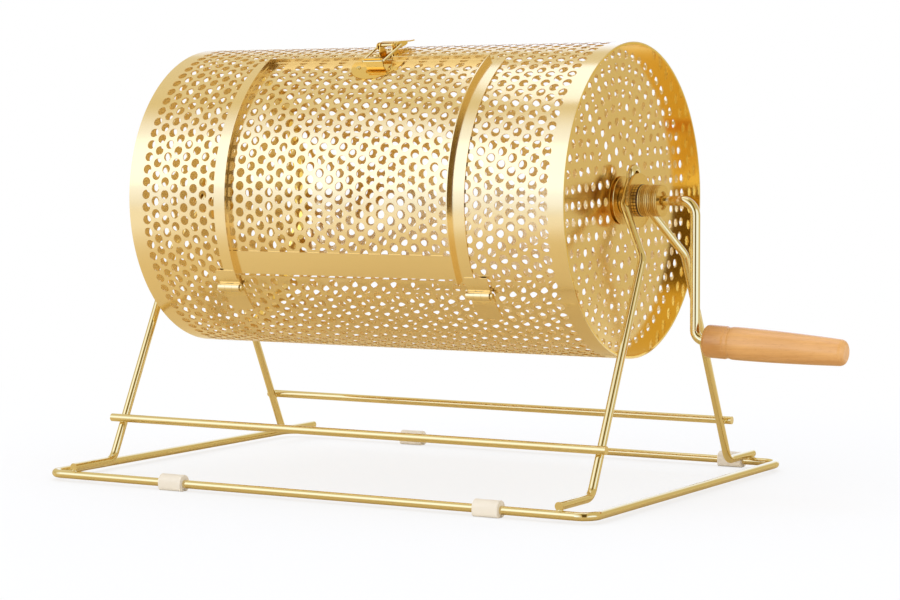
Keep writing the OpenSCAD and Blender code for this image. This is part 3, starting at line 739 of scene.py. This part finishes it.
class RAFFLEDRUM_OT_wall(bpy.types.Operator):
    """Punch the drum's wall and bend it round the axle"""

    bl_idname = "raffle_drum.wall"
    bl_label = "Drum wall"

    def execute(self, context):
        sizes = context.scene.raffle_drum_sizes
        step = math.pi / sizes.holes_round
        arc = sizes.radius * step
        holed = holed_cell(sizes.column_step, 2 * arc, sizes.hole_radius)
        plain = plain_cell(sizes.column_step, arc)
        rim = (sizes.length - sizes.hole_columns * sizes.column_step) / 2
        values = sheet_values(sizes, holed, plain, holed)
        values.update({
            "Columns": sizes.hole_columns + 2, "Rows": 2 * sizes.holes_round, "Left Edge": -sizes.length / 2,
            "Left Width": rim, "Right Width": rim, "Row Step": step, "First Angle": sizes.opening_low,
            "Low Extra": 0.0, "Closed": 1.0, "Notched": 0.0, "Plain Rows": 0.0,
            "Cut First": float(sizes.opening_first), "Cut Last": float(sizes.opening_last),
            "Cut Rows": float(sizes.opening_rows)})
        tree = perforated_tree()
        half = sizes.hole_columns // 2
        for name, first, last in (("left_wall", 0, half), ("right_wall", half + 1, sizes.hole_columns + 1)):
            values.update({"First Column": first, "Last Column": last})
            wall = grown(name, tree, values)
            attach(wall, "drum")
            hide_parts("drum_shell")
        drop_objects(holed, plain)
        return {"FINISHED"}


class RAFFLEDRUM_OT_door(bpy.types.Operator):
    """Punch the door's panel, bend it and fold its edges out"""

    bl_idname = "raffle_drum.door"
    bl_label = "Door panel"

    def execute(self, context):
        sizes = context.scene.raffle_drum_sizes
        step = (sizes.door_top - sizes.door_low_rows) / sizes.door_rows
        arc = sizes.radius * step
        left_width = sizes.door_first - sizes.door_left
        whole = sizes.door_columns * sizes.column_step
        holed = holed_cell(sizes.column_step, 2 * arc, sizes.hole_radius)
        plain = plain_cell(sizes.column_step, arc)
        cut_middle = left_width / 2 - sizes.column_step / 2
        notched = notched_cell(left_width, 2 * arc, sizes.hole_radius, cut_middle)
        values = sheet_values(sizes, holed, plain, notched)
        values.update({
            "Columns": sizes.door_columns + 2, "Rows": sizes.door_rows, "First Column": 0,
            "Last Column": sizes.door_columns + 1, "Left Edge": sizes.door_left, "Left Width": left_width,
            "Right Width": sizes.door_right - sizes.door_first - whole, "Row Step": step,
            "First Angle": sizes.door_low, "Low Extra": sizes.door_low_rows - sizes.door_low,
            "Closed": 0.0, "Notched": 1.0, "Plain Rows": 1.0, "Cut First": 0.0, "Cut Last": 0.0,
            "Cut Rows": 0.0})
        door = grown("perforated_door", bpy.data.node_groups["perforated_sheet"], values)
        drop_objects(holed, plain, notched)
        inner, top = sizes.radius - sizes.sheet, sizes.radius + sizes.flange
        fold = sizes.sheet / sizes.radius
        bm = bmesh.new()
        bm.from_mesh(door.data)
        left, right, low, high = sizes.door_left, sizes.door_right, sizes.door_low, sizes.door_top
        round_box(bm, left, left + sizes.sheet, low, high, inner, top, FOLD_STEPS)
        round_box(bm, right - sizes.sheet, right, low, high, inner, top, FOLD_STEPS)
        round_box(bm, left, right, high - fold, high, inner, top, 1)
        for face in bm.faces:
            face.material_index = 0
        sharpen(bm)
        bm.to_mesh(door.data)
        bm.free()
        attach(door, "door")
        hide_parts("door_panel")
        return {"FINISHED"}


def bead_tree():
    """A small uneven bead of weld on each point, flattened along the line between the two rods"""
    g, given = new_tree("weld_beads", [
        ("Geometry", "Geometry"), ("Radius", "Float"), ("Turn", "Vector"), ("Material", "Material")])
    points = g.node("GeometryNodeMeshToPoints", {"mode": "VERTICES"}, {"Mesh": given["Geometry"]})
    ball = g.node("GeometryNodeMeshIcoSphere", None, {
        "Radius": given["Radius"], "Subdivisions": BEAD_ROUNDS})
    squashed = g.node("GeometryNodeTransform", None, {"Geometry": ball, "Scale": (1.0, 1.0, BEAD_FLAT)})
    turned = g.node("GeometryNodeTransform", None, {"Geometry": squashed, "Rotation": given["Turn"]})
    laid = g.node("GeometryNodeRealizeInstances", None, {
        "Geometry": g.node("GeometryNodeInstanceOnPoints", None, {"Points": points, "Instance": turned})})
    uneven = noise(g, g.node("GeometryNodeInputPosition"), BEAD_GRAIN, 2.0)
    out = g.node("ShaderNodeVectorMath", {"operation": "SCALE"}, {
        0: g.node("GeometryNodeInputNormal"), "Scale": (uneven - 0.5) * given["Radius"] * BEAD_DEPTH})
    moved = g.node("GeometryNodeSetPosition", None, {"Geometry": laid, "Offset": out})
    smooth = g.node("GeometryNodeSetShadeSmooth", {"domain": "FACE"}, {0: moved, "Shade Smooth": True})
    finished = g.node("GeometryNodeSetMaterial", None, {"Geometry": smooth, "Material": given["Material"]})
    g.node("NodeGroupOutput", None, {"Geometry": finished})
    return g.tree


def ringed_piece(name, loops, closed, material):
    """A piece skinned over loops of points, the last joined to the first, with caps where loops are open"""
    count = len(loops[0])
    faces = []
    for k in range(len(loops)):
        here, there = k * count, (k + 1) % len(loops) * count
        for i in range(count if closed else count - 1):
            after = (i + 1) % count
            faces.append((here + i, there + i, there + after, here + after))
    if not closed:
        faces.append([k * count for k in range(len(loops))])
        faces.append([k * count + count - 1 for k in reversed(range(len(loops)))])
    piece = mesh_object(name, [point for loop in loops for point in loop], faces)
    bm = bmesh.new()
    bm.from_mesh(piece.data)
    bmesh.ops.recalc_face_normals(bm, faces=bm.faces[:])
    sharpen(bm, PIECE_FOLD)
    bm.to_mesh(piece.data)
    bm.free()
    piece.data.materials.append(material)
    return piece


def turned_loops(profile):
    """An outline of places along the axle and radii, copied at each step round the axle"""
    loops = []
    for i in range(TURNED_SIDES):
        a = 2 * math.pi * i / TURNED_SIDES
        loops.append([(x, AXLE.y + r * math.cos(a), AXLE.z + r * math.sin(a)) for x, r in profile])
    return loops


class RAFFLEDRUM_OT_flanges(bpy.types.Operator):
    """Turn the axle flanges: a round plate that stands off the end disc on a smaller boss"""

    bl_idname = "raffle_drum.flanges"
    bl_label = "Axle flanges"

    def execute(self, context):
        sizes = context.scene.raffle_drum_sizes
        for name, side in (("left_axle_flange", -1), ("right_axle_flange", 1)):
            low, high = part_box(name)
            inner, outer = (high[0], low[0]) if side < 0 else (low[0], high[0])
            top = (high[2] - low[2]) / 2
            bore = sizes.axle_radius
            gap = inner + side * sizes.flange_gap
            lip = sizes.sheet * FLANGE_LIP
            boss = top - sizes.flange_step
            profile = [
                (inner, bore), (inner, boss), (gap, boss), (gap, top - lip), (gap + side * lip, top),
                (outer - side * lip, top), (outer, top - lip), (outer, bore)]
            piece = ringed_piece(
                "standing_" + name, turned_loops(profile), True, bpy.data.materials["turned_and_plated"])
            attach(piece, "drum")
            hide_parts(name)
        return {"FINISHED"}


def sleeve_loops(middle, length, height, rod):
    """The loops of a sleeve round a level rod: a round top, a flat foot and a slit under the rod"""
    half, reach = height / 2, length / 2
    worn, flat = half - SLEEVE_EDGE, reach - SLEEVE_EDGE
    first, whole = SLEEVE_SLIT - math.pi / 2, 2 * (math.pi - SLEEVE_SLIT)
    turns = [first + whole * i / SLEEVE_SIDES for i in range(SLEEVE_SIDES + 1)]

    def bore(x):
        return [(middle.x + x, middle.y + rod * math.cos(t), middle.z + rod * math.sin(t)) for t in turns]

    def skin(x, size):
        points = []
        for t in turns:
            across, rise = math.cos(t), math.sin(t)
            power = 2 / (SLEEVE_TOP if rise > 0 else SLEEVE_FOOT)
            points.append((
                middle.x + x, middle.y + math.copysign(abs(across) ** power, across) * size,
                half + math.copysign(abs(rise) ** power, rise) * size))
        return points

    skins = [skin(-reach, worn), skin(-flat, half), skin(flat, half), skin(reach, worn)]
    return [bore(-reach)] + skins + [bore(reach)]


class RAFFLEDRUM_OT_sleeves(bpy.types.Operator):
    """Mould the sleeves that the base stands on"""

    bl_idname = "raffle_drum.sleeves"
    bl_label = "Sleeves"

    def execute(self, context):
        sizes = context.scene.raffle_drum_sizes
        low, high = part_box("base_loop")
        rod = (high[2] - low[2]) / 2
        for name in SLEEVE_NODES:
            first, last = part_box(name)
            middle = Vector(((first[0] + last[0]) / 2, (first[1] + last[1]) / 2, (low[2] + high[2]) / 2))
            loops = sleeve_loops(middle, sizes.sleeve_length, sizes.sleeve_height, rod)
            piece = ringed_piece("moulded_" + name, loops, False, bpy.data.materials["sleeve_plastic"])
            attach(piece, "stand")
            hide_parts(name)
        return {"FINISHED"}


class RAFFLEDRUM_OT_welds(bpy.types.Operator):
    """Lay the beads of weld where the stand's rods cross"""

    bl_idname = "raffle_drum.welds"
    bl_label = "Welds"

    def execute(self, context):
        sizes = context.scene.raffle_drum_sizes
        colours = context.scene.raffle_drum_colours
        weld = plated("plated_weld", colours.rod, 0.28, (420.0, 420.0, 420.0))
        tree = bead_tree()
        low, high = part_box("base_loop")
        middle = (low[0] + high[0]) / 2
        rod = (high[2] - low[2]) / 2
        legs = [middle - sizes.leg_place, middle + sizes.leg_place]
        lean = sizes.leg_lean
        feet = [(x, side * (high[1] - rod), high[2]) for x in legs for side in (-1, 1)]
        groups = [("foot_welds", feet, 0.0)]
        for name, side in (("front_crossbar", -1), ("rear_crossbar", 1)):
            first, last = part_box(name)
            y = (first[1] + last[1]) / 2 - side * rod * math.cos(lean)
            z = (first[2] + last[2]) / 2 - rod * math.sin(lean)
            spots = [(x, y, z) for x in legs]
            groups.append((name.replace("crossbar", "bar_welds"), spots, side * (lean - math.pi / 2)))
        for name, spots, turn in groups:
            beads = grown(name, tree, {"Radius": sizes.bead, "Turn": (turn, 0.0, 0.0), "Material": weld},
                          mesh_object(name + "_source", spots, []))
            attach(beads, "stand")
        return {"FINISHED"}


def lay_floor(colour):
    """A matte floor that glows white for the camera far from the object, and looks warm in the metal"""
    material, g, place = new_material("white_floor")
    path = g.node("ShaderNodeLightPath", out="Is Camera Ray")
    away = g.node("ShaderNodeVectorMath", {"operation": "LENGTH"}, {0: place}, "Value")
    far = eased(g, away, FLOOR_NEAR, FLOOR_FAR, FLOOR_GLOW, 1.0)
    seen = path.largest(path.other("Is Transmission Ray")) * far
    matte = g.node("ShaderNodeBsdfDiffuse", None, {"Color": opaque(colour)})
    glow = g.node("ShaderNodeEmission", None, {"Color": WHITE, "Strength": 1.0})
    share = (far - FLOOR_GLOW) / (1.0 - FLOOR_GLOW)
    mirrored = g.node("ShaderNodeBsdfDiffuse", None, {"Color": mixed(g, share, MIRRORED_NEAR, MIRRORED_FAR)})
    dulled = g.node("ShaderNodeMixShader", None, {0: path.other("Is Glossy Ray"), 1: matte, 2: mirrored})
    close_material(g, g.node("ShaderNodeMixShader", None, {0: seen, 1: dulled, 2: glow}))
    corners = [(x * FLOOR_REACH, y * FLOOR_REACH, 0) for x, y in ((-1, -1), (1, -1), (1, 1), (-1, 1))]
    floor = mesh_object("floor", corners, [(0, 1, 2, 3)])
    floor.data.materials.append(material)
    return floor


def light_world(scene):
    """Soft boxes and a dark gap on an even level, graded from warm to cool where metal mirrors them"""
    scene.world = bpy.data.worlds.new("studio")
    g = emptied(scene.world)
    path = g.node("ShaderNodeLightPath", out="Is Camera Ray")
    toward = g.node("ShaderNodeTexCoord", out="Generated")
    level = WORLD_LEVEL
    for aim, outer, inner, weight in SOFTBOXES:
        start, stop = math.cos(math.radians(outer)), math.cos(math.radians(inner))
        level = level + weight * eased(g, dotted(g, toward, aim), start, stop, 0.0, 1.0)
    across = dotted(g, toward, GAP_SIDE)
    beside = eased(g, across.largest(0 - across), GAP_INNER, GAP_OUTER, GAP_DEPTH, 0.0)
    facing = eased(g, dotted(g, toward, GAP_AIM), *GAP_AHEAD, 0.0, 1.0)
    level = level - beside * facing
    brightest = GRADE[-1][1][2]
    stops = [(at / GRADE_TOP, opaque(c / brightest for c in seen)) for at, seen in GRADE]
    graded = g.node("ShaderNodeValToRGB", {"ramp": stops}, {"Fac": level / GRADE_TOP})
    plain = g.node("ShaderNodeBackground", None, {
        "Color": PLAIN_TINT, "Strength": level * PLAIN_GAIN + PLAIN_BASE})
    mirrored = g.node("ShaderNodeBackground", None, {"Color": graded, "Strength": brightest})
    around = g.node("ShaderNodeMixShader", None, {0: path.other("Is Glossy Ray"), 1: plain, 2: mirrored})
    behind = g.node("ShaderNodeBackground", None, {"Color": WHITE, "Strength": 1.0})
    g.node("ShaderNodeOutputWorld", None, {
        "Surface": g.node("ShaderNodeMixShader", None, {0: path, 1: around, 2: behind})})


def hang_lamps(scene):
    """Large soft lamps that aim at the drum"""
    for name, place, (wide, high), power, tint in LAMPS:
        lamp = bpy.data.lights.new(name, "AREA")
        lamp.shape = "RECTANGLE"
        lamp.size = wide
        lamp.size_y = high
        lamp.energy = power
        lamp.color = tint
        made = bpy.data.objects.new(name, lamp)
        aim = (Vector((AXLE.x, 0.0, LAMP_AIM)) - Vector(place)).to_track_quat("-Z", "Y")
        made.matrix_world = Matrix.Translation(place) @ aim.to_matrix().to_4x4()
        scene.collection.objects.link(made)


def place_camera(scene):
    """The camera at the photograph's viewing angle"""
    lens = bpy.data.cameras.new("camera")
    lens.sensor_width = CAMERA_SENSOR
    lens.lens = CAMERA_LENS
    lens.shift_x, lens.shift_y = CAMERA_SHIFT
    lens.clip_end = CAMERA_REACH
    camera = bpy.data.objects.new("camera", lens)
    turn, tilt = CAMERA_TURN, CAMERA_TILT
    ahead = Vector((-math.sin(turn) * math.cos(tilt), math.cos(turn) * math.cos(tilt), math.sin(tilt)))
    across = Vector((math.cos(turn), math.sin(turn), 0.0))
    up = across.cross(ahead)
    facing = Matrix((across, up, -ahead)).transposed().to_4x4()
    camera.matrix_world = Matrix.Translation(CAMERA_PLACE) @ facing
    scene.collection.objects.link(camera)
    scene.camera = camera


class RAFFLEDRUM_OT_stage(bpy.types.Operator):
    """Set the floor, the soft studio light and the camera"""

    bl_idname = "raffle_drum.stage"
    bl_label = "Stage"

    def execute(self, context):
        scene = context.scene
        floor = lay_floor(scene.raffle_drum_colours.floor)
        light_world(scene)
        hang_lamps(scene)
        place_camera(scene)
        scene.view_settings.view_transform = "Standard"
        return {"FINISHED"}


class RAFFLEDRUM_PT_tools(bpy.types.Panel):
    """Lists the steps and their sizes"""

    bl_label = "Raffle Drum"
    bl_idname = "RAFFLEDRUM_PT_tools"
    bl_space_type = "VIEW_3D"
    bl_region_type = "UI"
    bl_category = "Raffle Drum"

    def draw(self, context):
        for group in (context.scene.raffle_drum_sizes, context.scene.raffle_drum_colours):
            box = self.layout.box()
            for key in group.__annotations__:
                box.prop(group, key)
        for step in STEPS:
            self.layout.operator(step.bl_idname)


STEPS = [
    RAFFLEDRUM_OT_finishes, RAFFLEDRUM_OT_wall, RAFFLEDRUM_OT_door, RAFFLEDRUM_OT_flanges,
    RAFFLEDRUM_OT_sleeves, RAFFLEDRUM_OT_welds, RAFFLEDRUM_OT_stage]
CLASSES = [RaffleDrumSizes, RaffleDrumColours] + STEPS + [RAFFLEDRUM_PT_tools]


def register():
    for cls in CLASSES:
        bpy.utils.register_class(cls)
    bpy.types.Scene.raffle_drum_sizes = bpy.props.PointerProperty(type=RaffleDrumSizes)
    bpy.types.Scene.raffle_drum_colours = bpy.props.PointerProperty(type=RaffleDrumColours)


def unregister():
    del bpy.types.Scene.raffle_drum_colours
    del bpy.types.Scene.raffle_drum_sizes
    for cls in reversed(CLASSES):
        bpy.utils.unregister_class(cls)


def main():
    register()
    bpy.ops.raffle_drum.finishes()
    bpy.ops.raffle_drum.wall()
    bpy.ops.raffle_drum.door()
    bpy.ops.raffle_drum.flanges()
    bpy.ops.raffle_drum.sleeves()
    bpy.ops.raffle_drum.welds()
    bpy.ops.raffle_drum.stage()


if __name__ == "__main__":
    main()
